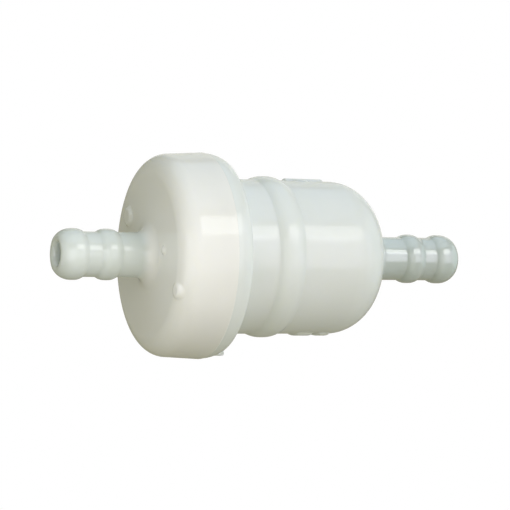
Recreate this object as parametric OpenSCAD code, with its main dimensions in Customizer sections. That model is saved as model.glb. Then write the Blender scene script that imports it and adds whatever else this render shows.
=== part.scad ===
// In-line fuel filter for a small engine, with a moulded two-piece case and a pleated paper element.
// The flow axis lies along X. Fuel enters the domed end at +X and leaves through the end cap at -X.
// +Z is up. The origin is on the flow axis, halfway between the two nipple tips.

/* [Hose nipples] */
// Diameter of the plain stem, which takes an 8 mm (5/16 inch) hose
stem_d = 8.0; // [6.6:0.1:10]
// Height of a retaining bead above the stem
bead_h = 0.55; // [0.4:0.05:0.8]
// Diameter of the flow bore
bore_d = 4.0; // [3.3:0.1:4.8]
// Length from one tip to the cap's face, and from the other tip to the top of the dome
nipple_l = 17.0; // [14.1:0.1:24]
// Distance from the tip to the crest of the first bead
nose_l = 3.0; // [2.5:0.1:3.6]
// Distance between the crests of the two beads
bead_pitch = 6.3; // [5.2:0.1:7.6]
// Width of a bead at its foot
bead_w = 3.8; // [3:0.1:4.6]
// Length of the cylindrical land on the crest of a bead
bead_land = 0.6; // [0.4:0.1:0.8]
// Radial width of the tip, from the bore out to the start of the rounded nose
tip_ring = 1.2; // [1:0.05:1.45]
// Radius of the bore's rounded mouth
mouth_r = 0.8; // [0.6:0.05:0.95]
// Radius of the fillet at the foot of a nipple
root_fillet = 2.4; // [1:0.1:2.6]

/* [Housing] */
// Outside diameter of the cylindrical body
body_d = 28.0; // [23:0.5:34]
// Length from the rear face of the flange to the start of the dome
body_l = 22.2; // [18:0.2:28]
// Wall thickness of the body and the dome
body_wall = 1.8; // [1.4:0.1:2.2]
// Radius of the dome's rounded corner
dome_corner_r = 8.3; // [6.8:0.1:10]
// Radius of the dome's crown
dome_crown_r = 25.0; // [20.8:0.5:30]
// Thickness of the weld flange
flange_t = 3.0; // [2.4:0.1:3.6]
// Radius in the corner between the flange and the body
neck_fillet = 0.5; // [0.3:0.1:0.9]
// Distance from the flange to the crest of the stiffening bead
hoop_x = 9.3; // [7.6:0.1:11.2]
// Height of the stiffening bead above the body
hoop_h = 0.65; // [0.4:0.05:0.9]
// Width of the stiffening bead at its foot
hoop_w = 5.0; // [4:0.2:6]
// Thickness of the fins in the dome that hold the element forward
fin_t = 1.2; // [1:0.1:1.6]
// Number of fins in the dome
fin_count = 4; // [3:1:6]
// Distance from the edge of the end plate in to the outer edge of a fin
fin_inset = 2.0; // [1.6:0.1:3]

/* [Marks on the housing] */
// Height of the raised marks above the body
mark_h = 0.36; // [0.2:0.02:0.5]
// Length of the raised flow arrow
arrow_l = 7.4; // [6:0.2:9]
// Width of the arrow head
arrow_w = 4.6; // [3.6:0.2:5.6]
// Distance from the flange to the tip of the flow arrow
arrow_x = 13.6; // [12.6:0.2:14.6]
// Width of the two plain pads under the body
pad_w = 5.0; // [4:0.2:6]
// Length of the pad nearer the flange
long_pad_l = 2.8; // [2.2:0.1:3.4]
// Length of the pad nearer the dome
short_pad_l = 1.8; // [1.4:0.1:2.2]
// Space between the two pads
pad_gap = 1.6; // [1.2:0.1:2]
// Distance from the flange to the first pad
pad_x = 15.8; // [13.4:0.2:16.4]
// Width of the index tab under the flange
tab_w = 4.2; // [3.4:0.2:5.2]
// Length of the index tab behind the flange
tab_l = 1.4; // [1:0.1:2]
// Radial thickness of the index tab
tab_t = 1.75; // [1.4:0.05:2.1]
// Height of the index tab above the rear edge of the flange
tab_rise = 0.25; // [0.15:0.05:0.4]

/* [Housing rim and cap skirt] */
// Radial width of the seat that the gasket lies on
seat_w = 2.6; // [2.2:0.1:3.2]
// Radial wall of the rim around the seat
rim_wall = 1.15; // [0.9:0.05:1.5]
// Length of the rim in front of the flange
rim_l = 3.0; // [2.9:0.1:3.6]
// Radial clearance between the rim and the cap skirt
skirt_clear = 0.15; // [0.05:0.05:0.3]
// Radial wall of the cap skirt at the shoulder
skirt_wall = 2.05; // [1.8:0.05:2.6]
// Radial draft of the outside of the skirt from the shoulder to the rear edge
skirt_draft = 0.4; // [0.2:0.05:0.6]
// Radial step from the rear edge of the cap down to the flange
flange_step = 0.1; // [0.05:0.05:0.3]
// How far the edge of the flange falls away from the cap to its rear face
flange_fall = 0.75; // [0.6:0.05:0.9]

/* [End cap] */
// Depth of the cap from its face to its rear edge
cap_depth = 10.0; // [8.4:0.1:12]
// Wall thickness of the cap's face
cap_wall = 2.0; // [1.6:0.1:2.4]
// Radius of the rounded shoulder
shoulder_r = 3.6; // [3:0.1:4.2]
// Chamfer on the rear edge of the skirt and on the rear edge of the flange
edge_chamfer = 0.2; // [0.15:0.05:0.3]
// Radial wall of the rib that clamps the element's seat plate
clamp_rib_t = 1.6; // [1.2:0.1:2]
// Diameter of the ejector pad on the cap's flat face
face_pad_d = 3.4; // [2.8:0.1:4]
// Height of that pad
face_pad_h = 0.5; // [0.3:0.05:0.7]
// Distance from the axis to that pad
face_pad_r = 11.6; // [9.6:0.1:12]
// Angle of that pad from the top, turning towards -Y
face_pad_angle = 307; // [290:1:330]
// Diameter of the ejector pad on the cap's shoulder
shoulder_pad_d = 2.6; // [2:0.1:3.4]
// Distance of its centre out past the start of the shoulder
shoulder_pad_out = 0.9; // [0.4:0.1:1.4]
// Height of that pad above the plane of the cap's face
shoulder_pad_h = 0.15; // [0.1:0.05:0.3]
// Angle of the pad on the shoulder from the top, turning towards -Y
shoulder_pad_angle = 113; // [100:1:130]
// Diameter of the gate mark
gate_d = 1.4; // [1:0.1:1.8]
// Height of the gate mark
gate_h = 0.35; // [0.2:0.05:0.5]
// Distance from the axis to the gate mark
gate_r = 8.5; // [7.6:0.1:9.4]
// Angle of the gate mark from the top, turning towards -Y
gate_angle = 84; // [70:1:100]

/* [Filter element] */
// Gap between the element's plates and the housing wall
flow_gap = 0.6; // [0.5:0.05:0.9]
// Radial depth of the pleats
pleat_depth = 5.0; // [4.2:0.1:5.6]
// Space that one pleat takes around the inner edge
pleat_pitch = 1.35; // [1.2:0.05:1.6]
// Thickness of the filter paper
paper_t = 0.3; // [0.24:0.02:0.34]
// Outside width of a pleat's fold
fold_w = 1.24; // [1.1:0.02:1.4]
// Width of the gap at the foot of two neighbouring pleats
valley_w = 0.24; // [0.2:0.02:0.3]
// Thickness of the element's two plates
plate_t = 1.6; // [1.3:0.1:2]
// Height of the rim around each plate
plate_rim_h = 2.4; // [2:0.1:3]
// Radial wall of that rim
plate_rim_t = 0.8; // [0.6:0.05:1]
// Radial room between a plate's rim and the pleats
potting_clear = 0.3; // [0.2:0.05:0.4]
// Thickness of the adhesive that bonds the paper to a plate
potting_t = 1.0; // [0.8:0.05:1.2]
// Thickness of the flat gasket
gasket_t = 0.9; // [0.7:0.05:1.1]
// How far the seat plate lies below the end of the rim
plate_sink = 0.1; // [0.05:0.05:0.3]
// Radial clearance of the gasket and of the seat plate in the rim
seat_clear = 0.15; // [0.1:0.05:0.2]
// Distance from the start of the dome to the outer face of the end plate
end_reach = 0.8; // [0.4:0.1:1.2]
// Wall of the core tube
core_wall = 0.8; // [0.6:0.05:1]
// Radial clearance between the pleats and the core tube
core_clear = 0.2; // [0.1:0.05:0.3]
// Radial clearance between the core tube and the spigots in its ends
spigot_clear = 0.1; // [0.05:0.05:0.15]
// Wall of the seat plate's hollow spigot
spigot_wall = 0.8; // [0.6:0.05:1]
// Length of the spigots
spigot_l = 3.2; // [2.4:0.2:4]
// Diameter of the holes in the core tube
core_hole_d = 2.2; // [1.8:0.1:2.6]
// Spacing of the rows of holes along the core tube
core_hole_pitch = 3.3; // [3:0.1:4]
// Number of holes in one row around the core tube, an even number
core_holes = 6; // [4:2:6]

/* [Hidden] */
$fn = 96;
// Steps in which an arc of an outline is drawn
arc_steps = 14;
// How far a cut runs past the surface that it opens
past = 1;
// How far the foot of a nipple sinks into the wall that it stands on
foot_sink = 1.2;
// How far the foot of a bead sinks into what it stands on
bead_sink = 0.5;

stem_r = stem_d / 2;
bead_r = stem_r + bead_h;
bore_r = bore_d / 2;
body_r = body_d / 2;
chamber_r = body_r - body_wall;
seat_r = chamber_r + seat_w;
rim_r = seat_r + rim_wall;
skirt_r = rim_r + skirt_clear;
cap_front_r = skirt_r + skirt_wall;
cap_r = cap_front_r + skirt_draft;
flange_r = cap_r - flange_step;
flange_rear_r = flange_r - flange_fall;

// The edge of the flange is one arc, level where it meets the cap
bow_run = flange_t - edge_chamfer;
bow_r = arc_radius(bow_run, flange_fall);
bow_angle = asin(bow_run / bow_r);

// The dome is two arcs that meet tangentially, each about its own centre
dome_centre_r = body_r - dome_corner_r;
dome_angle = asin(dome_centre_r / (dome_crown_r - dome_corner_r));
crown_back = dome_centre_r / tan(dome_angle);
dome_l = dome_crown_r - crown_back;
// How far the crown has fallen away at the edge of the nipple's root fillet
crown_drop = dome_crown_r - sqrt(pow(dome_crown_r, 2) - pow(stem_r + root_fillet, 2));

overall_l = 2 * nipple_l + cap_depth + flange_t + body_l + dome_l;
// Places along the axis
cap_tip_x = -overall_l / 2;
cap_face_x = cap_tip_x + nipple_l;
cap_rear_x = cap_face_x + cap_depth;
flange_x = cap_rear_x + flange_t;
dome_x = flange_x + body_l;
apex_x = dome_x + dome_l;
rim_x = cap_rear_x - rim_l;
plate_x = rim_x + plate_sink;
gasket_x = plate_x + plate_t;
seat_floor_x = gasket_x + gasket_t;
end_plate_x = dome_x + end_reach;
paper_x = gasket_x + potting_t;
paper_end_x = end_plate_x - plate_t - potting_t;

// Radii of the element, from the housing wall inwards
element_r = chamber_r - flow_gap;
channel_r = element_r - plate_rim_t;
fold_r = channel_r - potting_clear;
valley_r = fold_r - pleat_depth;
core_r = valley_r - core_clear;
core_bore_r = core_r - core_wall;
spigot_r = core_bore_r - spigot_clear;
pleat_count = floor(2 * PI * valley_r / pleat_pitch);
pleat_angle = 360 / pleat_count;
fin_r = element_r - fin_inset;
fin_inner_r = fin_r / 2;
inner_shoulder_r = shoulder_r - cap_wall;

// Points [radius, place along the axis] of an arc. Angle 0 points along the axis and 90 away from it.
function arc(r, x, radius, from, to) =
    [for (i = [0:arc_steps])
        let (a = from + (to - from) * i / arc_steps)
        [r + radius * sin(a), x + radius * cos(a)]];

// Radius of the arc that is half_w wide on each side and rises by h
function arc_radius(half_w, h) = (half_w * half_w + h * h) / (2 * h);

// Point at a radius, moved sideways by off at a turn about the axis
function beside(radius, off, turn) =
    let (a = turn + asin(off / radius))
    [radius * cos(a), radius * sin(a)];

// Turns a shape drawn along +Z onto the flow axis. Its -X side becomes the top.
module along_flow() {
    rotate([0, 90, 0])
        children();
}

// Solid of revolution from points [radius, place along the axis]
module turned(points) {
    rotate_extrude()
        polygon(points);
}

// Moves a shape out to a radius at an angle from the top, turning towards -Y
module clocked(angle, radius) {
    rotate([0, 0, angle])
        translate([-radius, 0, 0])
            children();
}

// One bead at the origin: a cylindrical land with a round flank on each side
module bead(base_r, crest_r, foot_w, land) {
    half_w = (foot_w - land) / 2;
    rise = crest_r - base_r;
    flank_r = arc_radius(half_w, rise);
    flank_angle = asin(half_w / flank_r);
    turned(concat(
        [[base_r - bead_sink, foot_w / 2], [base_r, foot_w / 2]],
        arc(crest_r - flank_r, land / 2, flank_r, 90 - flank_angle, 90),
        arc(crest_r - flank_r, -land / 2, flank_r, 90, 90 + flank_angle),
        [[base_r - bead_sink, -foot_w / 2]]
    ));
}

// Hose nipple with its tip at the origin, its foot sunk into a wall that starts at +Z
module nipple(length) {
    nose_run = nose_l - bead_land / 2;
    tip_r = bore_r + tip_ring;
    nose_r = arc_radius(nose_run, bead_r - tip_r);
    nose_angle = asin(nose_run / nose_r);
    turned(concat(
        [[0, 0]],
        arc(bead_r - nose_r, nose_run, nose_r, 90 + nose_angle, 90),
        [[bead_r, nose_l], [stem_r, nose_l]],
        arc(stem_r + root_fillet, length - root_fillet, root_fillet, 270, 360),
        [[stem_r + root_fillet, length + foot_sink], [0, length + foot_sink]]
    ));
    for (crest = [nose_l, nose_l + bead_pitch])
        translate([0, 0, crest])
            bead(stem_r, bead_r, bead_w, bead_land);
}

// Flow bore with a rounded mouth at the origin, as a solid to cut away
module flow_bore(length) {
    translate([0, 0, -past])
        cylinder(h = length + past, r = bore_r);
    turned(concat(
        [[0, -past], [bore_r + mouth_r, -past]],
        arc(bore_r + mouth_r, mouth_r, mouth_r, 180, 270),
        [[0, mouth_r]]
    ));
}

// Outline of the housing's shell, from the rim round the outside to the apex and back inside
function shell_outline() = concat(
    [[seat_r, rim_x], [rim_r, rim_x], [rim_r, cap_rear_x]],
    arc(flange_r - bow_r, cap_rear_x, bow_r, 90, 90 - bow_angle),
    [[flange_rear_r - edge_chamfer, flange_x]],
    arc(body_r + neck_fillet, flange_x + neck_fillet, neck_fillet, 180, 270),
    arc(dome_centre_r, dome_x, dome_corner_r, 90, dome_angle),
    arc(0, dome_x - crown_back, dome_crown_r, dome_angle, 0),
    arc(0, dome_x - crown_back, dome_crown_r - body_wall, 0, dome_angle),
    arc(dome_centre_r, dome_x, dome_corner_r - body_wall, dome_angle, 90),
    [[chamber_r, seat_floor_x], [seat_r, seat_floor_x]]
);

// Flow arrow seen from above, with its tip towards the end cap
module arrow() {
    head_l = arrow_l / 2;
    shaft_w = arrow_w / 3;
    polygon([
        [0, 0], [head_l, arrow_w / 2], [head_l, shaft_w / 2], [arrow_l, shaft_w / 2],
        [arrow_l, -shaft_w / 2], [head_l, -shaft_w / 2], [head_l, -arrow_w / 2]
    ]);
}

// A flat shape laid on the body as a raised mark. Its x runs along the axis.
module raised_mark(angle) {
    intersection() {
        translate([0, 0, flange_x])
            cylinder(h = body_l + dome_l, r = body_r + mark_h);
        rotate([0, 0, angle])
            rotate([0, -90, 0])
                translate([0, 0, chamber_r + body_wall / 2])
                    linear_extrude(body_wall)
                        children();
    }
}

// Fins in the dome, which bear on the end plate and run out halfway through the dome's wall
module dome_fins() {
    intersection() {
        translate([0, 0, end_plate_x])
            for (i = [0:fin_count - 1])
                rotate([0, 0, (i + 0.5) * 360 / fin_count])
                    translate([fin_inner_r, -fin_t / 2, 0])
                        cube([fin_r - fin_inner_r, fin_t, dome_l]);
        turned(concat(
            [[0, dome_x]],
            arc(dome_centre_r, dome_x, dome_corner_r - body_wall / 2, 90, dome_angle),
            arc(0, dome_x - crown_back, dome_crown_r - body_wall / 2, dome_angle, 0)
        ));
    }
}

// Index tab under the flange
module index_tab() {
    clocked(180, flange_rear_r + tab_rise)
        translate([0, -tab_w / 2, cap_rear_x])
            cube([tab_t, tab_w, flange_t + tab_l]);
}

// Cup-shaped case with the weld flange, the domed end and the inlet nipple
module housing() {
    color("honeydew")
        along_flow()
            difference() {
                union() {
                    turned(shell_outline());
                    translate([0, 0, flange_x + hoop_x])
                        bead(body_r, body_r + hoop_h, hoop_w, bead_land);
                    translate([0, 0, apex_x + nipple_l])
                        mirror([0, 0, 1])
                            nipple(nipple_l + crown_drop);
                    raised_mark(0)
                        translate([flange_x + arrow_x, 0])
                            arrow();
                    raised_mark(180)
                        translate([flange_x + pad_x, -pad_w / 2])
                            square([long_pad_l, pad_w]);
                    raised_mark(180)
                        translate([flange_x + pad_x + long_pad_l + pad_gap, -pad_w / 2])
                            square([short_pad_l, pad_w]);
                    index_tab();
                    dome_fins();
                }
                translate([0, 0, apex_x + nipple_l])
                    mirror([0, 0, 1])
                        flow_bore(nipple_l + dome_l);
            }
}

// Outline of the cap: face, rounded shoulder, drafted skirt, and the inside
function cap_outline() = concat(
    [[0, cap_face_x]],
    arc(cap_front_r - shoulder_r, cap_face_x + shoulder_r, shoulder_r, 180, 90),
    [[cap_r, cap_rear_x - edge_chamfer], [cap_r - edge_chamfer, cap_rear_x]],
    [[skirt_r, cap_rear_x]],
    arc(skirt_r - inner_shoulder_r, cap_face_x + shoulder_r, inner_shoulder_r, 90, 180),
    [[0, cap_face_x + cap_wall]]
);

// Cover with the outlet nipple. Its skirt is welded to the flange and its rib clamps the seat plate.
module end_cap() {
    rib_l = plate_x - cap_face_x;
    rib_r = seat_r - seat_clear;
    color("ivory")
        along_flow()
            difference() {
                union() {
                    turned(cap_outline());
                    translate([0, 0, cap_tip_x])
                        nipple(nipple_l);
                    translate([0, 0, cap_face_x + cap_wall / 2])
                        difference() {
                            cylinder(h = rib_l - cap_wall / 2, r = rib_r);
                            cylinder(h = rib_l, r = rib_r - clamp_rib_t);
                        }
                    clocked(face_pad_angle, face_pad_r)
                        translate([0, 0, cap_face_x - face_pad_h])
                            cylinder(h = face_pad_h + cap_wall / 2, d = face_pad_d);
                    clocked(shoulder_pad_angle, cap_front_r - shoulder_r + shoulder_pad_out)
                        translate([0, 0, cap_face_x - shoulder_pad_h])
                            cylinder(h = shoulder_pad_h + shoulder_r / 2, d = shoulder_pad_d);
                    clocked(gate_angle, gate_r)
                        translate([0, 0, cap_face_x - gate_h])
                            cylinder(h = gate_h + cap_wall / 2, d = gate_d);
                }
                translate([0, 0, cap_tip_x])
                    flow_bore(nipple_l + cap_wall + past);
            }
}

// Flat rubber ring on the floor of the housing's seat
module gasket() {
    color("dimgray")
        along_flow()
            translate([0, 0, gasket_x])
                difference() {
                    cylinder(h = gasket_t, r = seat_r - seat_clear);
                    translate([0, 0, -past])
                        cylinder(h = gasket_t + 2 * past, r = chamber_r + seat_clear);
                }
}

// Open plate at the outlet end of the element, clamped on the gasket
module seat_plate() {
    color("gainsboro")
        along_flow()
            turned([
                [spigot_r - spigot_wall, plate_x],
                [seat_r - seat_clear, plate_x],
                [seat_r - seat_clear, gasket_x],
                [element_r, gasket_x],
                [element_r, gasket_x + plate_rim_h],
                [channel_r, gasket_x + plate_rim_h],
                [channel_r, gasket_x],
                [spigot_r, gasket_x],
                [spigot_r, gasket_x + spigot_l],
                [spigot_r - spigot_wall, gasket_x + spigot_l]
            ]);
}

// Closed plate at the domed end of the element
module end_plate() {
    inner_x = end_plate_x - plate_t;
    color("gainsboro")
        along_flow()
            turned([
                [0, end_plate_x],
                [element_r, end_plate_x],
                [element_r, inner_x - plate_rim_h],
                [channel_r, inner_x - plate_rim_h],
                [channel_r, inner_x],
                [spigot_r, inner_x],
                [spigot_r, inner_x - spigot_l],
                [0, inner_x - spigot_l]
            ]);
}

// Perforated tube that carries the pleats from the inside
module core_tube() {
    core_l = end_plate_x - plate_t - gasket_x;
    free_l = core_l - 2 * (spigot_l + core_hole_d);
    rows = floor(free_l / core_hole_pitch) + 1;
    color("whitesmoke")
        along_flow()
            translate([0, 0, gasket_x])
                difference() {
                    cylinder(h = core_l, r = core_r);
                    translate([0, 0, -past])
                        cylinder(h = core_l + 2 * past, r = core_bore_r);
                    for (row = [0:rows - 1])
                        translate([0, 0, core_l / 2 + (row - (rows - 1) / 2) * core_hole_pitch])
                            for (i = [0:core_holes / 2 - 1])
                                rotate([90, 0, i * 360 / core_holes + (row % 2) * 180 / core_holes])
                                    cylinder(h = 2 * core_r + past, d = core_hole_d, center = true);
                }
}

// Outer and inner faces of the folded paper, each as one closed line
function outer_fold_line() =
    [for (i = [0:pleat_count - 1])
        let (tip = i * pleat_angle, foot = (i + 0.5) * pleat_angle)
        each [
            beside(fold_r, -fold_w / 2, tip),
            beside(fold_r, fold_w / 2, tip),
            beside(valley_r + paper_t, -valley_w / 2, foot),
            beside(valley_r + paper_t, valley_w / 2, foot)
        ]];
function inner_fold_line() =
    [for (i = [0:pleat_count - 1])
        let (tip = i * pleat_angle, foot = (i + 0.5) * pleat_angle)
        each [
            beside(fold_r - paper_t, paper_t - fold_w / 2, tip),
            beside(fold_r - paper_t, fold_w / 2 - paper_t, tip),
            beside(valley_r, -valley_w / 2 - paper_t, foot),
            beside(valley_r, valley_w / 2 + paper_t, foot)
        ]];

// Filter paper, folded into a ring of pleats
module pleated_paper() {
    color("navajowhite")
        along_flow()
            translate([0, 0, paper_x])
                linear_extrude(paper_end_x - paper_x)
                    difference() {
                        polygon(outer_fold_line());
                        polygon(inner_fold_line());
                    }
}

// Bead of adhesive in one valley, where the two ends of the paper meet
module paper_seam() {
    foot = 0.5 * pleat_angle;
    left_foot = beside(valley_r + paper_t, -valley_w / 2, foot);
    left_tip = beside(fold_r, fold_w / 2, 0);
    right_foot = beside(valley_r + paper_t, valley_w / 2, foot);
    right_tip = beside(fold_r, -fold_w / 2, pleat_angle);
    low = 0.3;
    high = 0.9;
    color("wheat")
        along_flow()
            translate([0, 0, paper_x])
                linear_extrude(paper_end_x - paper_x)
                    polygon([
                        left_foot + low * (left_tip - left_foot),
                        left_foot + high * (left_tip - left_foot),
                        right_foot + high * (right_tip - right_foot),
                        right_foot + low * (right_tip - right_foot)
                    ]);
}

// Ring of adhesive in the channel of a plate
module potting(x) {
    along_flow()
        translate([0, 0, x])
            difference() {
                cylinder(h = potting_t, r = channel_r);
                translate([0, 0, -past])
                    cylinder(h = potting_t + 2 * past, r = core_r);
            }
}

module seat_potting() {
    color("peru")
        potting(gasket_x);
}

module end_potting() {
    color("peru")
        potting(paper_end_x);
}

housing();
end_cap();
gasket();
seat_plate();
end_plate();
core_tube();
pleated_paper();
paper_seam();
seat_potting();
end_potting();
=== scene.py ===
import bpy
import numpy as np
from mathutils import Matrix, Vector


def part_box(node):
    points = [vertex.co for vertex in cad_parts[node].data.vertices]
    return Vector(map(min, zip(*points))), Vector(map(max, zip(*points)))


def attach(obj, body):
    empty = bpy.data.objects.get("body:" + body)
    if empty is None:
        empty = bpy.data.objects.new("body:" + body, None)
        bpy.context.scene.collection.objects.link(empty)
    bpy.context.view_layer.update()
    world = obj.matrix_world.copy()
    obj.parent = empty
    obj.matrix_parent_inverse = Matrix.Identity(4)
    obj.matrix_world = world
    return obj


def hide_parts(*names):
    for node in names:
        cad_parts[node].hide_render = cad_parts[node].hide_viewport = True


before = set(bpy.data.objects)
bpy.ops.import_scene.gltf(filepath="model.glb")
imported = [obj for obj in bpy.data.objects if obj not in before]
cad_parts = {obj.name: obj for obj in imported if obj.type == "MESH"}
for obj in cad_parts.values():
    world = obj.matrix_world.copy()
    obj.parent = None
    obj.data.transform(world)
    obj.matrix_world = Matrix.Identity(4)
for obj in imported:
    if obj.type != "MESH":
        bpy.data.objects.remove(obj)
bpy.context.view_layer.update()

mm = 0.001

# ---------------------------------------------------------------------------
# Housing
# The cup of the case with the inlet nipple on its dome, moulded in one in natural nylon. It carries the weld
# flange, a stiffening bead, an index tab, a raised flow arrow on top, two plain pads below and fins inside.

housing_low, housing_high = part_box("housing")
cap_low, cap_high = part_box("end_cap")
stem_r = 4.0 * mm
bead_r = 4.55 * mm
bead_w = 3.8 * mm
bead_land = 0.6 * mm
bead_pitch = 6.3 * mm
bore_r = 2.0 * mm
mouth_r = 0.8 * mm
tip_ring = 1.2 * mm
nose_l = 3.0 * mm
root_fillet = 2.4 * mm
body_r = 14.0 * mm
body_l = 22.2 * mm
body_wall = 1.8 * mm
dome_corner_r = 8.3 * mm
dome_crown_r = 25.0 * mm
flange_t = 3.0 * mm
flange_step = 0.1 * mm
flange_fall = 0.75 * mm
edge_chamfer = 0.2 * mm
neck_fillet = 0.5 * mm
rim_wall = 1.15 * mm
hoop_x = 9.3 * mm
hoop_h = 0.65 * mm
hoop_w = 5.0 * mm
seat_clear = 0.15 * mm
flange_r = cap_high.y - flange_step
flange_rear_r = flange_r - flange_fall
flange_front_x = cap_high.x
flange_x = flange_front_x + flange_t
seat_floor_x, seat_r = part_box("gasket")[1].x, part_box("gasket")[1].y + seat_clear
rim_r = seat_r + rim_wall
chamber_r = body_r - body_wall
dome_x = flange_x + body_l
dome_centre_r = body_r - dome_corner_r
dome_lean = np.arcsin(dome_centre_r / (dome_crown_r - dome_corner_r))
crown_x = dome_x - dome_centre_r / np.tan(dome_lean)
foot_r = stem_r + root_fillet
dome_foot_x = crown_x + np.sqrt(dome_crown_r ** 2 - foot_r ** 2)


def arc(x, r, radius, start, end):
    """Points of an arc about (x, r): radius times the cosine along the axis and the sine away from it."""
    turn = np.radians(np.linspace(start, end, 40))
    return np.stack([x + radius * np.cos(turn), r + radius * np.sin(turn)], 1)


def flank(foot_x, foot_r, crest_x, crest_r):
    """An arc from a foot up to a crest, level at the crest: its radius is (run^2 + rise^2) / (2 rise)."""
    run, rise = crest_x - foot_x, crest_r - foot_r
    radius = (run ** 2 + rise ** 2) / (2 * rise)
    lean = np.linspace(np.arcsin(abs(run) / radius), 0, 30)
    x = crest_x - np.sign(run) * radius * np.sin(lean)
    return np.stack([x, crest_r - radius * (1 - np.cos(lean))], 1)


def bead(crest_x, base_r, crest_r, foot_w, land):
    """A rounded rib seen from the side: a flank up, a short level land and a flank down."""
    up = flank(crest_x - foot_w / 2, base_r, crest_x - land / 2, crest_r)
    down = flank(crest_x + foot_w / 2, base_r, crest_x + land / 2, crest_r)[::-1]
    return np.concatenate([up, down])


def nipple(tip_x, foot_x, way):
    """Outline of a hose nipple from its bore's mouth to its root fillet. way is 1 if it points along -X."""
    first, second = tip_x + way * nose_l, tip_x + way * (nose_l + bead_pitch)
    mouth = arc(tip_x + way * mouth_r, bore_r + mouth_r, mouth_r, 270, 270 - way * 90)
    nose = flank(tip_x, bore_r + tip_ring, first - way * bead_land / 2, bead_r)
    back = flank(first + way * bead_w / 2, stem_r, first + way * bead_land / 2, bead_r)[::-1]
    ring = bead(second, stem_r, bead_r, bead_w, bead_land)[::way]
    fillet = arc(foot_x - way * root_fillet, stem_r + root_fillet, root_fillet, 270, 270 + way * 90)
    return np.concatenate([mouth, nose, back, ring, fillet])


def softened(outline, soft):
    """A closed outline at 0.03 mm spacing, averaged along its own length with a bell curve of width soft."""
    closed = np.concatenate([outline, outline[:1]])
    along = np.concatenate([[0], np.cumsum(np.linalg.norm(np.diff(closed, axis=0), axis=1))])
    count = int(along[-1] / (0.03 * mm))
    even = np.linspace(0, along[-1], count, endpoint=False)
    dense = np.stack([np.interp(even, along, closed[:, i]) for i in (0, 1)], 1)
    wave = np.fft.rfftfreq(count, along[-1] / count)
    bell = np.exp(-2 * (np.pi * soft * wave) ** 2)[:, None]
    return np.fft.irfft(np.fft.rfft(dense, axis=0) * bell, n=count, axis=0)


def paced(outline, step, bend, fine, fine_step):
    """Points of a closed outline that are step apart, or fine_step where fine holds, and bend in turn."""
    ahead = np.roll(outline, -1, axis=0) - outline
    behind = np.roll(ahead, 1, axis=0)
    turned = behind[:, 0] * ahead[:, 1] - behind[:, 1] * ahead[:, 0]
    turn = np.abs(np.arctan2(turned, (behind * ahead).sum(1)))
    length = np.linalg.norm(ahead, axis=1)
    rate = length * np.where(fine(outline), 1 / fine_step, 1 / step) + turn / bend
    total = np.concatenate([[0], np.cumsum(rate)])
    wanted = np.linspace(0, total[-1], int(total[-1]) + 1, endpoint=False)
    return outline[np.clip(np.searchsorted(total, wanted), 0, len(outline) - 1)]


def turns(step, fine_step, zones):
    """Angles all the way round, step degrees apart, or fine_step in each zone (middle, half width)."""
    fill_step = 0.05
    fill = np.radians(np.arange(0, 360, fill_step))
    away = [np.abs((fill - middle + np.pi) % (2 * np.pi) - np.pi) / half for middle, half in zones]
    rate = np.where(np.min(away, axis=0) < 1, 1 / fine_step, 1 / step) * fill_step
    total = np.concatenate([[0], np.cumsum(rate)])
    wanted = np.linspace(0, total[-1], int(total[-1]), endpoint=False)
    return np.interp(wanted, total, np.append(fill, 2 * np.pi))


def turned_grid(outline, angles):
    """Places along the axis, radii and angles of a surface of revolution, as three grids."""
    x, angle = np.meshgrid(outline[:, 0], angles, indexing="ij")
    r = np.broadcast_to(outline[:, 1:], x.shape)
    return x, r.copy(), angle


def smooth(t):
    """0 below 0, 1 above 1, and a curve that is level at both ends between them."""
    t = np.clip(t, 0, 1)
    return t * t * (3 - 2 * t)


def edge(distance):
    """How far inside a soft edge 0.3 mm wide a point is, from 0 to 1."""
    return smooth(distance / (0.3 * mm) + 0.5)


def piece_from_grid(name, points):
    """A mesh from a grid of points that closes on itself along both of its directions, turned outwards."""
    rows, columns = points.shape[:2]
    here = np.arange(rows * columns).reshape(rows, columns)
    below = np.roll(here, -1, 0)
    faces = np.stack([here, below, np.roll(below, -1, 1), np.roll(here, -1, 1)], -1).reshape(-1, 4)
    points = points.reshape(-1, 3)
    a, b, c, d = (points[faces[:, i]] for i in range(4))
    if np.einsum("ij,ij->", a, np.cross(b, c)) + np.einsum("ij,ij->", a, np.cross(c, d)) < 0:
        faces = faces[:, ::-1]
    mesh = bpy.data.meshes.new(name)
    mesh.vertices.add(len(points))
    mesh.vertices.foreach_set("co", points.astype(np.float32).ravel())
    mesh.loops.add(faces.size)
    mesh.loops.foreach_set("vertex_index", faces.astype(np.int32).ravel())
    mesh.polygons.add(len(faces))
    mesh.polygons.foreach_set("loop_start", np.arange(0, faces.size, 4, dtype=np.int32))
    mesh.polygons.foreach_set("use_smooth", np.ones(len(faces), bool))
    mesh.update(calc_edges=True)
    mesh.validate()
    piece = bpy.data.objects.new(name, mesh)
    bpy.context.scene.collection.objects.link(piece)
    return piece


def round_the_axis(x, r, angle):
    """Points at a place along the axis, a radius, and an angle from the top towards -Y."""
    return np.stack([x, -r * np.sin(angle), r * np.cos(angle)], -1)


lean = np.degrees(dome_lean)
foot_lean = np.degrees(np.arcsin(foot_r / dome_crown_r))
bore_lean = np.degrees(np.arcsin(bore_r / (dome_crown_r - body_wall)))
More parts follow.
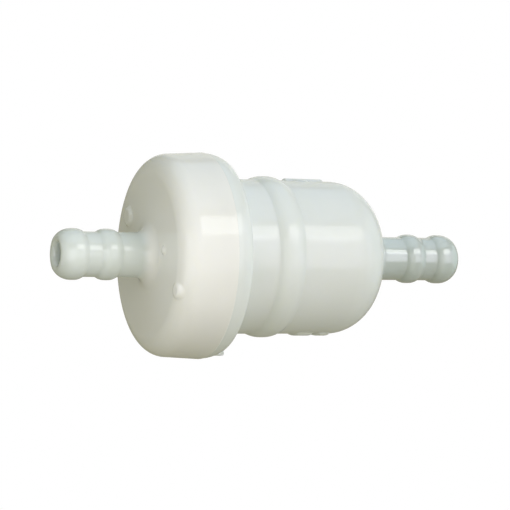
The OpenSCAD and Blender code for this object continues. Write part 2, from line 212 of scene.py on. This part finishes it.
# Melt from the weld that reaches in under the corner of the cap's skirt
weld_flash = 0.7 * mm
rear_corner = [flange_x - edge_chamfer, flange_rear_r]
housing_outline = np.concatenate([
    [[housing_low.x, seat_r], [housing_low.x, rim_r], [flange_front_x, rim_r]],
    [[flange_front_x, flange_r - weld_flash], [flange_front_x - weld_flash, flange_r - weld_flash]],
    [[flange_front_x - weld_flash, flange_r]],
    flank(*rear_corner, flange_front_x, flange_r)[::-1],
    [[flange_x, flange_rear_r - edge_chamfer]],
    arc(flange_x + neck_fillet, body_r + neck_fillet, neck_fillet, 180, 270),
    bead(flange_x + hoop_x, body_r, body_r + hoop_h, hoop_w, bead_land),
    arc(dome_x, dome_centre_r, dome_corner_r, 90, lean),
    arc(crown_x, 0, dome_crown_r, lean, foot_lean),
    nipple(housing_high.x, dome_foot_x, -1)[::-1],
    arc(crown_x, 0, dome_crown_r - body_wall, bore_lean, lean),
    arc(dome_x, dome_centre_r, dome_corner_r - body_wall, lean, 90),
    [[seat_floor_x, chamber_r], [seat_floor_x, seat_r]],
])

tab_w = 4.2 * mm
tab_l = 1.4 * mm
tab_r = flange_rear_r + 0.25 * mm
tab_low_r = tab_r - 1.75 * mm
mark_h = 0.36 * mm
arrow_l = 7.4 * mm
arrow_w = 4.6 * mm
arrow_x = 13.6 * mm
pad_w = 5.0 * mm
pad_ends = [(15.8 * mm, 18.6 * mm), (20.2 * mm, 22.0 * mm)]
fin_t = 1.2 * mm
fin_inset = 2.0 * mm
fin_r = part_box("end_plate")[1].y - fin_inset
fin_end_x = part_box("end_plate")[1].x
margin = 0.4 * mm


def in_marks(p):
    """True for points of the outline where the raised marks or the index tab stand, with a margin."""
    x, r = p[:, 0] - flange_x, p[:, 1]
    marks = (r > body_r - margin) & (x > arrow_x - margin) & (x < pad_ends[-1][1] + margin)
    tab = (x > -flange_t / 2) & (x < margin) & (r > tab_low_r - margin)
    return marks | tab


# The edges of both mouldings are rounded by about a tenth of a millimetre
edge_soft = 0.11 * mm
coarse_step = 0.6 * mm
coarse_bend = np.radians(9)
coarse_turn = 3.0
housing_fine_step = 0.17 * mm
housing_fine_turn = 0.75
marks_half = np.radians(11)
fin_half = np.radians(4)
fin_turns = [np.radians(45 + 90 * i) for i in range(4)]
housing_soft = softened(housing_outline, edge_soft)
housing_line = paced(housing_soft, coarse_step, coarse_bend, in_marks, housing_fine_step)
housing_zones = [(0.0, marks_half), (np.pi, marks_half)] + [(turn, fin_half) for turn in fin_turns]
housing_turns = turns(coarse_turn, housing_fine_turn, housing_zones)
x, r, angle = turned_grid(housing_line, housing_turns)
above = r * ((angle + np.pi) % (2 * np.pi) - np.pi)
below = r * (angle - np.pi)
skin = 0.2 * mm
outer = r > body_r - skin

# The marks: an arrow whose tip points to the end cap, and two plain pads on the underside
from_tip = x - flange_x - arrow_x
head = np.minimum(edge((arrow_w / arrow_l) * from_tip - np.abs(above)), edge(arrow_l / 2 - from_tip))
shaft = np.minimum(edge(arrow_w / 6 - np.abs(above)), np.minimum(edge(arrow_l - from_tip), edge(from_tip)))
lift = np.maximum(head, shaft)
for start, end in pad_ends:
    on_length = edge((end - start) / 2 - np.abs(x - flange_x - (start + end) / 2))
    lift = np.maximum(lift, np.minimum(on_length, edge(pad_w / 2 - np.abs(below))))
on_body = outer & (x > flange_x + hoop_x)
r = np.where(on_body, np.maximum(r, r + lift * (body_r + mark_h - r)), r)

# The tab: the rim of the flange rises to a flat top and its rear face moves back by the tab's length
tab_blend = 0.4 * mm
blend_start = 0.6 * mm
on_tab = edge(tab_w / 2 - np.abs(below)) * outer
to_rear = smooth((x - flange_x + blend_start) / tab_blend)
to_rim = smooth((r - flange_rear_r + blend_start) / tab_blend)
on_rear_face = on_tab * to_rear * edge(r - tab_low_r)
risen = r + on_tab * (tab_r - flange_rear_r) * to_rim * to_rear
flat_top = (on_tab > 0.5) & (r > flange_rear_r) & (x < flange_x)
behind_front = x > flange_front_x + flange_t / 3
r = np.where(behind_front, np.maximum(risen, np.where(flat_top, tab_r, r)), r)
x = x + on_rear_face * tab_l

# The fins: flat walls that stand down from the inside of the dome as far as the element's end plate
inside_dome = (r < fin_r) & (r > fin_r / 2) & (x > dome_x) & (x < crown_x + dome_crown_r - body_wall / 2)
inside_dome &= np.hypot(x - crown_x, r) < dome_crown_r - body_wall / 2
off_fins = [np.abs(r * np.sin(angle - turn)) + (np.cos(angle - turn) < 0) for turn in fin_turns]
off_fin = np.min(off_fins, axis=0)
x = np.where(inside_dome, x + edge(fin_t / 2 - off_fin) * (fin_end_x - x), x)
housing = piece_from_grid("housing_moulding", round_the_axis(x, r, angle))


def linear(code):
    """An sRGB hex colour as linear red, green, blue and alpha."""
    part = np.array([int(code[i:i + 2], 16) for i in (1, 3, 5)]) / 255
    return (*np.where(part <= 0.04045, part / 12.92, ((part + 0.055) / 1.055) ** 2.4), 1.0)


def add(material, kind, settings, inputs):
    """Adds a node, sets its properties, and gives each input a value or a link from another node's socket."""
    made = material.node_tree.nodes.new(kind)
    for name, value in settings.items():
        setattr(made, name, value)
    for name, value in inputs.items():
        if isinstance(value, bpy.types.NodeSocket):
            material.node_tree.links.new(value, made.inputs[name])
        else:
            made.inputs[name].default_value = value
    return made


def new_material(name):
    """A material with an empty node tree."""
    material = bpy.data.materials.new(name)
    material.use_nodes = True
    material.node_tree.nodes.clear()
    return material


def moulded_nylon(name, clear, cloudy, tube, tube_start, tube_end, tube_shine):
    """Natural nylon 6, injection moulded: milky and translucent, with a soft gloss from a polished tool.

    The colour drifts between clear and cloudy over about a centimetre, as slow-cooled nylon does. It turns
    to tube along the axis from tube_start to tube_end, where the wall is a thin hollow tube: tube is a
    painted shade, darker and cooler, that stands in for the shade the thin wall takes from the darker space
    behind it, and tube_shine gives it the gloss of a tool polished brighter. The spread of light inside fades
    out within about 2 mm of the weld, so that none is lost where the two mouldings are fused.
    """
    material = new_material(name)
    place = add(material, "ShaderNodeTexCoord", {}, {}).outputs["Object"]
    cloud = add(material, "ShaderNodeTexNoise", {}, {
        "Vector": place, "Scale": 1 / (9 * mm), "Detail": 2.0, "Roughness": 0.5})
    milk = add(material, "ShaderNodeMix", {"data_type": "RGBA"}, {
        0: cloud.outputs["Fac"], 6: linear(clear), 7: linear(cloudy)})
    along = add(material, "ShaderNodeSeparateXYZ", {}, {"Vector": place})
    thin = add(material, "ShaderNodeMapRange", {"interpolation_type": "SMOOTHSTEP"}, {
        "Value": along.outputs["X"], "From Min": tube_start, "From Max": tube_end})
    # Painted shade: along the nipple the colour turns to the darker, cooler tube colour, in place of the
    # shade its thin wall takes
    colour = add(material, "ShaderNodeMix", {"data_type": "RGBA"}, {
        0: thin.outputs["Result"], 6: milk.outputs[2], 7: linear(tube)})
    ripple = add(material, "ShaderNodeTexNoise", {}, {
        "Vector": place, "Scale": 1 / (7 * mm), "Detail": 1.0, "Roughness": 0.4})
    bump = add(material, "ShaderNodeBump", {}, {
        "Height": ripple.outputs["Fac"], "Strength": 0.1, "Distance": 0.03 * mm})
    gloss = add(material, "ShaderNodeMapRange", {}, {
        "Value": ripple.outputs["Fac"], "From Min": 0.3, "From Max": 0.7, "To Min": 0.13, "To Max": 0.17})
    polish = add(material, "ShaderNodeMath", {"operation": "MULTIPLY"}, {0: thin.outputs["Result"], 1: -0.03})
    roughness = add(material, "ShaderNodeMath", {"operation": "ADD"}, {
        0: gloss.outputs["Result"], 1: polish.outputs["Value"]})
    past_weld = add(material, "ShaderNodeMath", {"operation": "SUBTRACT"}, {
        0: along.outputs["X"], 1: flange_front_x})
    off_weld = add(material, "ShaderNodeMath", {"operation": "ABSOLUTE"}, {0: past_weld.outputs["Value"]})
    spread = add(material, "ShaderNodeMapRange", {"interpolation_type": "SMOOTHSTEP"}, {
        "Value": off_weld.outputs["Value"], "From Min": 0.4 * mm, "From Max": 2.2 * mm, "To Max": 0.8})
    shine = add(material, "ShaderNodeMath", {"operation": "MULTIPLY"}, {
        0: thin.outputs["Result"], 1: tube_shine})
    shader = add(material, "ShaderNodeBsdfPrincipled", {"subsurface_method": "RANDOM_WALK"}, {
        "Base Color": colour.outputs[2], "Roughness": roughness.outputs["Value"], "IOR": 1.53,
        "Coat Weight": shine.outputs["Value"], "Coat Roughness": 0.12, "Coat IOR": 1.8,
        "Subsurface Weight": spread.outputs["Result"], "Subsurface Radius": (1.0, 0.98, 0.88),
        "Subsurface Scale": 2.0 * mm, "Normal": bump.outputs["Normal"]})
    add(material, "ShaderNodeOutputMaterial", {}, {"Surface": shader.outputs["BSDF"]})
    return material


dome_tip_x = crown_x + dome_crown_r
# The tube colour #c9d2cf is a painted shade: the cup's nipple is painted darker and cooler than the cup
housing.data.materials.append(moulded_nylon(
    "natural nylon, moulded cup", "#eef2ef", "#e7ece8", "#c9d2cf",
    dome_tip_x - 0.4 * mm, dome_tip_x + 1.6 * mm, 0.8))
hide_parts("housing")
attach(housing, "root")

# ---------------------------------------------------------------------------
# Gasket
# A flat ring of black nitrile rubber, cut from sheet, that lies on the floor of the housing's seat and is
# squeezed by the element's seat plate.


def rubber_sheet():
    """Nitrile rubber, pressed between steel plates: near black, matt, with a fine pebbled skin."""
    material = new_material("nitrile rubber, pressed sheet")
    place = add(material, "ShaderNodeTexCoord", {}, {}).outputs["Object"]
    pebble = add(material, "ShaderNodeTexNoise", {}, {
        "Vector": place, "Scale": 1 / (0.5 * mm), "Detail": 4.0, "Roughness": 0.6})
    colour = add(material, "ShaderNodeMix", {"data_type": "RGBA"}, {
        0: pebble.outputs["Fac"], 6: linear("#1d1d1e"), 7: linear("#2c2c2d")})
    bump = add(material, "ShaderNodeBump", {}, {
        "Height": pebble.outputs["Fac"], "Strength": 0.4, "Distance": 0.04 * mm})
    shader = add(material, "ShaderNodeBsdfPrincipled", {}, {
        "Base Color": colour.outputs[2], "Roughness": 0.62, "IOR": 1.52, "Normal": bump.outputs["Normal"]})
    add(material, "ShaderNodeOutputMaterial", {}, {"Surface": shader.outputs["BSDF"]})
    return material


def finish_node(name, material):
    """Gives a CAD node's object one material in place of its own."""
    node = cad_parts[name]
    node.data.materials.clear()
    node.data.materials.append(material)


finish_node("gasket", rubber_sheet())

# ---------------------------------------------------------------------------
# Core tube and plates
# The element's frame: a perforated tube, an open plate that is clamped at the outlet and a closed plate at
# the dome. All three are moulded in white polypropylene.


def moulded_polypropylene():
    """Polypropylene, injection moulded: white, slightly waxy, with faint flow marks along the tube."""
    material = new_material("white polypropylene, moulded")
    place = add(material, "ShaderNodeTexCoord", {}, {}).outputs["Object"]
    along = add(material, "ShaderNodeMapping", {}, {"Vector": place, "Scale": (0.3, 1.0, 1.0)})
    flow = add(material, "ShaderNodeTexNoise", {}, {
        "Vector": along.outputs["Vector"], "Scale": 1 / (1.6 * mm), "Detail": 3.0, "Roughness": 0.5})
    colour = add(material, "ShaderNodeMix", {"data_type": "RGBA"}, {
        0: flow.outputs["Fac"], 6: linear("#efefec"), 7: linear("#e3e3de")})
    bump = add(material, "ShaderNodeBump", {}, {
        "Height": flow.outputs["Fac"], "Strength": 0.2, "Distance": 0.03 * mm})
    shader = add(material, "ShaderNodeBsdfPrincipled", {"subsurface_method": "RANDOM_WALK"}, {
        "Base Color": colour.outputs[2], "Roughness": 0.42, "IOR": 1.49, "Subsurface Weight": 0.5,
        "Subsurface Scale": 0.8 * mm, "Normal": bump.outputs["Normal"]})
    add(material, "ShaderNodeOutputMaterial", {}, {"Surface": shader.outputs["BSDF"]})
    return material


element_plastic = moulded_polypropylene()
for element_node in ("core_tube", "seat_plate", "end_plate"):
    finish_node(element_node, element_plastic)

# ---------------------------------------------------------------------------
# Pleated paper
# A strip of resin-treated cellulose paper, folded into rounded pleats and closed to a ring around the core
# tube. Its two ends meet in one valley, where a strip of hot-melt adhesive joins them.

paper_low, paper_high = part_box("pleated_paper")
paper_t = 0.3 * mm
paper_fold_r = paper_high.z
pleat_depth = 5.0 * mm
pleat_pitch = 1.35 * mm
paper_foot_r = paper_fold_r - pleat_depth
pleat_count = int(2 * np.pi * paper_foot_r / pleat_pitch)
pleat_turn = 2 * np.pi / pleat_count
fold_bend = 0.47 * mm
foot_bend = 0.27 * mm


def folded_line(offset):
    """The paper seen along the axis, moved sideways by offset from the middle of its thickness.

    One pleat is nearly a half circle at its fold, centred on its radius, then nearly a half circle the other
    way at its foot, half a pleat further round. The straight legs fill the gaps between the two evenly.
    """
    out = np.radians(np.linspace(-80, 80, 9))
    away = np.radians(np.linspace(80, -80, 7))
    fold_centre = paper_fold_r - paper_t / 2 - fold_bend
    foot_centre = paper_foot_r + paper_t / 2 + foot_bend
    fold = fold_centre + (fold_bend + offset) * np.exp(1j * out)
    foot = foot_centre - (foot_bend - offset) * np.exp(1j * away)
    first = fold[-1] + (foot[0] * np.exp(0.5j * pleat_turn) - fold[-1]) * np.linspace(0, 1, 8)[1:-1]
    last = foot[-1] * np.exp(0.5j * pleat_turn)
    then = last + (fold[0] * np.exp(1j * pleat_turn) - last) * np.linspace(0, 1, 8)[1:-1]
    pleat = np.concatenate([fold, first, foot * np.exp(0.5j * pleat_turn), then])
    return (pleat[None, :] * np.exp(1j * pleat_turn * np.arange(pleat_count))[:, None]).ravel()


paper_lines = np.stack([folded_line(s * paper_t / 2) for s in (1, 1, 1, -1, -1, -1)])
paper_middle = (paper_low.x + paper_high.x) / 2
paper_x = np.array([paper_low.x, paper_middle, paper_high.x, paper_high.x, paper_middle, paper_low.x])
# A turn measured from the tube's -Z side towards +Y, which is where the pleats of the frame start
paper_points = np.stack([
    np.broadcast_to(paper_x[:, None], paper_lines.shape), paper_lines.imag, -paper_lines.real], -1)
pleats = piece_from_grid("pleated_paper_ring", paper_points)
pleats.data.set_sharp_from_angle(angle=np.radians(60))


def filter_paper():
    """Cellulose filter paper, creped and cured in resin: buff, matt, fibrous, with darker resin patches."""
    material = new_material("resin-treated filter paper, folded")
    place = add(material, "ShaderNodeTexCoord", {}, {}).outputs["Object"]
    patch = add(material, "ShaderNodeTexNoise", {}, {
        "Vector": place, "Scale": 1 / (2.5 * mm), "Detail": 5.0, "Roughness": 0.65})
    fibre = add(material, "ShaderNodeTexNoise", {}, {
        "Vector": place, "Scale": 1 / (0.3 * mm), "Detail": 5.0, "Roughness": 0.7, "Distortion": 1.5})
    colour = add(material, "ShaderNodeMix", {"data_type": "RGBA"}, {
        0: patch.outputs["Fac"], 6: linear("#ead9ab"), 7: linear("#cfb37c")})
    bump = add(material, "ShaderNodeBump", {}, {
        "Height": fibre.outputs["Fac"], "Strength": 0.6, "Distance": 0.05 * mm})
    shader = add(material, "ShaderNodeBsdfPrincipled", {}, {
        "Base Color": colour.outputs[2], "Roughness": 0.85, "IOR": 1.5, "Normal": bump.outputs["Normal"]})
    add(material, "ShaderNodeOutputMaterial", {}, {"Surface": shader.outputs["BSDF"]})
    return material


pleats.data.materials.append(filter_paper())
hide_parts("pleated_paper")
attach(pleats, "root")

# ---------------------------------------------------------------------------
# Adhesives
# The strip of hot-melt that closes the paper ring, and the two rings of plastisol, poured into the plates'
# channels and cured, that bond the ends of the pleats.


def poured_adhesive(name, pale, deep, bubble, roughness):
    """An adhesive that set from a liquid: glassy to satin, with a drifting tint and a few small bubbles."""
    material = new_material(name)
    place = add(material, "ShaderNodeTexCoord", {}, {}).outputs["Object"]
    drift = add(material, "ShaderNodeTexNoise", {}, {
        "Vector": place, "Scale": 1 / (3 * mm), "Detail": 3.0, "Roughness": 0.5})
    colour = add(material, "ShaderNodeMix", {"data_type": "RGBA"}, {
        0: drift.outputs["Fac"], 6: linear(pale), 7: linear(deep)})
    bubbles = add(material, "ShaderNodeTexVoronoi", {}, {"Vector": place, "Scale": 1 / bubble})
    dimple = add(material, "ShaderNodeMapRange", {}, {
        "Value": bubbles.outputs["Distance"], "From Min": 0.05, "From Max": 0.25})
    bump = add(material, "ShaderNodeBump", {}, {
        "Height": dimple.outputs["Result"], "Strength": 0.35, "Distance": 0.08 * mm})
    shader = add(material, "ShaderNodeBsdfPrincipled", {}, {
        "Base Color": colour.outputs[2], "Roughness": roughness, "IOR": 1.5,
        "Normal": bump.outputs["Normal"]})
    add(material, "ShaderNodeOutputMaterial", {}, {"Surface": shader.outputs["BSDF"]})
    return material


finish_node("paper_seam", poured_adhesive("hot-melt adhesive, set", "#dcc48b", "#c9a968", 1.4 * mm, 0.35))
plastisol = poured_adhesive("plastisol, poured and cured", "#b98a52", "#a0713c", 1.1 * mm, 0.45)
for ring_node in ("seat_potting", "end_potting"):
    finish_node(ring_node, plastisol)

# ---------------------------------------------------------------------------
# End cap
# The wide cover with the outlet nipple, moulded in the same natural nylon. Its skirt slides over the
# housing's rim and is welded to the flange, and a rib inside clamps the element.

cap_wall = 2.0 * mm
shoulder_r = 3.6 * mm
skirt_draft = 0.4 * mm
skirt_clear = 0.15 * mm
rib_wall = 1.6 * mm
cap_face_x = cap_low.x + 17.0 * mm
cap_front_r = cap_high.y - skirt_draft
skirt_r = rim_r + skirt_clear
inner_shoulder_r = shoulder_r - cap_wall
rib_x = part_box("seat_plate")[0].x
rib_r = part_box("seat_plate")[1].y
face_pad = {"turn": np.radians(307), "radius": 11.6 * mm, "across": 3.4 * mm, "height": 0.5 * mm}
edge_pad = {"turn": np.radians(113), "radius": 15.45 * mm, "across": 2.6 * mm, "height": 0.15 * mm}
gate_mark = {"turn": np.radians(84), "radius": 8.5 * mm, "across": 1.4 * mm, "height": 0.35 * mm}
cap_pads = (face_pad, edge_pad, gate_mark)
# Half the angle around each of them that gets the fine steps
cap_pad_halves = np.radians([11, 8, 7])
pads_low_r = 7.5 * mm
pads_high_r = 17.3 * mm
pads_reach = 1.2 * mm
cap_fine_step = 0.16 * mm
cap_fine_turn = 0.6
face_low_r = 6.0 * mm
face_reach = 1.6 * mm


def raised_pad(x, r, angle, pad, face_x, outside):
    """Lifts the grid inside a round pad to a flat top, with a soft wall 0.8 mm wide around it."""
    side = r * np.sin(angle) - pad["radius"] * np.sin(pad["turn"])
    rise = r * np.cos(angle) - pad["radius"] * np.cos(pad["turn"])
    inside = smooth((pad["across"] / 2 - np.hypot(side, rise)) / (0.8 * mm) + 0.5) * outside
    return x + inside * np.minimum(face_x - pad["height"] - x, 0)


def near_pads(p):
    """True for points of the outline on the part of the face and the shoulder that holds the raised pads."""
    return (p[:, 0] < cap_face_x + pads_reach) & (p[:, 1] > pads_low_r) & (p[:, 1] < pads_high_r)


cap_outline = np.concatenate([
    nipple(cap_low.x, cap_face_x, 1),
    arc(cap_face_x + shoulder_r, cap_front_r - shoulder_r, shoulder_r, 180, 90),
    [[cap_high.x, cap_high.y], [cap_high.x, skirt_r]],
    arc(cap_face_x + shoulder_r, skirt_r - inner_shoulder_r, inner_shoulder_r, 90, 180),
    [[cap_face_x + cap_wall, rib_r], [rib_x, rib_r], [rib_x, rib_r - rib_wall]],
    [[cap_face_x + cap_wall, rib_r - rib_wall], [cap_face_x + cap_wall, bore_r]],
])
cap_soft = softened(cap_outline, edge_soft)
cap_line = paced(cap_soft, coarse_step, coarse_bend, near_pads, cap_fine_step)
cap_zones = [(pad["turn"], half) for pad, half in zip(cap_pads, cap_pad_halves)]
cap_turns = turns(coarse_turn, cap_fine_turn, cap_zones)
x, r, angle = turned_grid(cap_line, cap_turns)
outside = (x < cap_face_x + face_reach) & (r > face_low_r)
for pad in cap_pads:
    x = raised_pad(x, r, angle, pad, cap_face_x, outside)
end_cap = piece_from_grid("end_cap_moulding", round_the_axis(x, r, angle))
# The tube colour #d8deda is a painted shade: the cap's nipple is painted darker than the cap
end_cap.data.materials.append(moulded_nylon(
    "natural nylon, moulded cap", "#f6f6f1", "#f0f0ea", "#d8deda",
    cap_face_x - 0.4 * mm, cap_face_x - 2.4 * mm, 0.2))
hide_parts("end_cap")
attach(end_cap, "root")

# ---------------------------------------------------------------------------
# Studio
# A pale floor that rises into a wall all round, soft boxes on every side, a small one close to the cap's
# face, and a weak even light. The floor looks evenly lit and lights nothing itself.

floor_z = -0.12
floor_r = 1.2
wall_h = 3.0
bowl_angles = np.radians(np.arange(0, 360, 5))
bowl_turn, bowl_rise = np.meshgrid(bowl_angles, np.linspace(0, 1, 40), indexing="ij")
bowl_r = floor_r * np.minimum(bowl_rise * 2, 1)
bowl_z = floor_z + np.maximum(bowl_rise * 2 - 1, 0) ** 2 * wall_h
stage_points = np.stack([bowl_r * np.cos(bowl_turn), bowl_r * np.sin(bowl_turn), bowl_z], -1).reshape(-1, 3)
stage_ids = np.arange(len(stage_points)).reshape(bowl_turn.shape)
next_ids = np.roll(stage_ids, -1, 0)
stage_faces = np.stack([stage_ids, next_ids, np.roll(next_ids, -1, 1), np.roll(stage_ids, -1, 1)], -1)
stage_mesh = bpy.data.meshes.new("studio_floor")
stage_mesh.from_pydata(stage_points.tolist(), [], stage_faces[:, :-1].reshape(-1, 4).tolist())
stage = bpy.data.objects.new("studio_floor", stage_mesh)
bpy.context.scene.collection.objects.link(stage)
paper_white = new_material("white paper, lit evenly")
glow = add(paper_white, "ShaderNodeEmission", {}, {"Color": (1, 1, 1, 1), "Strength": 1.0})
add(paper_white, "ShaderNodeOutputMaterial", {}, {"Surface": glow.outputs["Emission"]})
stage_mesh.materials.append(paper_white)
stage.visible_diffuse = False
stage.visible_glossy = False
stage.visible_transmission = False
stage.visible_shadow = False

world = bpy.data.worlds.new("studio")
bpy.context.scene.world = world
world.use_nodes = True
world.node_tree.nodes["Background"].inputs["Color"].default_value = (0.31, 0.30, 0.22, 1)
world.node_tree.nodes["Background"].inputs["Strength"].default_value = 1.0


def soft_box(name, direction, distance, width, height, radiance):
    """A rectangular light that faces the origin from a direction.

    A lamp's power is its brightness times pi times its area, so the colour holds the brightness itself.
    """
    lamp = bpy.data.lights.new(name, "AREA")
    lamp.shape = "RECTANGLE"
    lamp.size = width
    lamp.size_y = height
    lamp.energy = np.pi * width * height
    lamp.color = radiance
    place = bpy.data.objects.new(name, lamp)
    place.location = Vector(direction).normalized() * distance
    place.rotation_euler = (-place.location).to_track_quat("-Z", "Y").to_euler()
    place.visible_camera = False
    bpy.context.scene.collection.objects.link(place)


soft_box("key", (0.407, -0.739, 0.537), 0.6, 0.34, 0.2, (2.8, 2.8, 2.8))
soft_box("overhead", (0, 0, 1), 1.0, 1.4, 1.4, (0.43, 0.54, 0.7))
soft_box("front", (0.1, -1, 0.1), 1.0, 1.2, 0.8, (0.92, 0.9, 0.94))
soft_box("front right", (0.9, -0.9, 0.2), 1.0, 0.8, 0.8, (0.75, 0.73, 0.95))
soft_box("low front", (0.0, -0.8, -0.6), 1.0, 0.8, 0.8, (0.38, 0.39, 0.36))
soft_box("left", (-1, -0.2, 0.1), 1.0, 1.0, 1.0, (0.12, 0.14, 0.13))
soft_box("near left", (-0.8, -0.58, -0.04), 0.064, 0.04, 0.04, (1.25, 1.25, 1.35))
soft_box("right", (1, -0.1, 0.1), 1.0, 1.0, 1.0, (0.28, 0.4, 0.44))
soft_box("back", (0.6, 1, 0.45), 1.0, 0.7, 0.8, (0.45, 0.45, 0.45))

yaw = np.radians(24)
roll = np.radians(0.856)
right = Vector((np.cos(yaw) * np.cos(roll), -np.sin(yaw) * np.cos(roll), np.sin(roll)))
back = Vector((-np.sin(yaw), -np.cos(yaw), 0))
upward = back.cross(right)
camera = bpy.data.objects.new("camera", bpy.data.cameras.new("camera"))
camera.data.lens = 151.8
camera.data.sensor_width = 36
camera.data.clip_start = 0.01
camera.data.clip_end = 10
facing = Matrix((right, upward, back)).transposed().to_4x4()
camera_away = 0.3874
camera_right = 0.00739
camera_up = 0.00018
stand = Vector((flange_x, 0, 0)) + back * camera_away + right * camera_right + upward * camera_up
camera.matrix_world = Matrix.Translation(stand) @ facing
bpy.context.scene.collection.objects.link(camera)
bpy.context.scene.camera = camera
bpy.context.scene.view_settings.view_transform = "Standard"
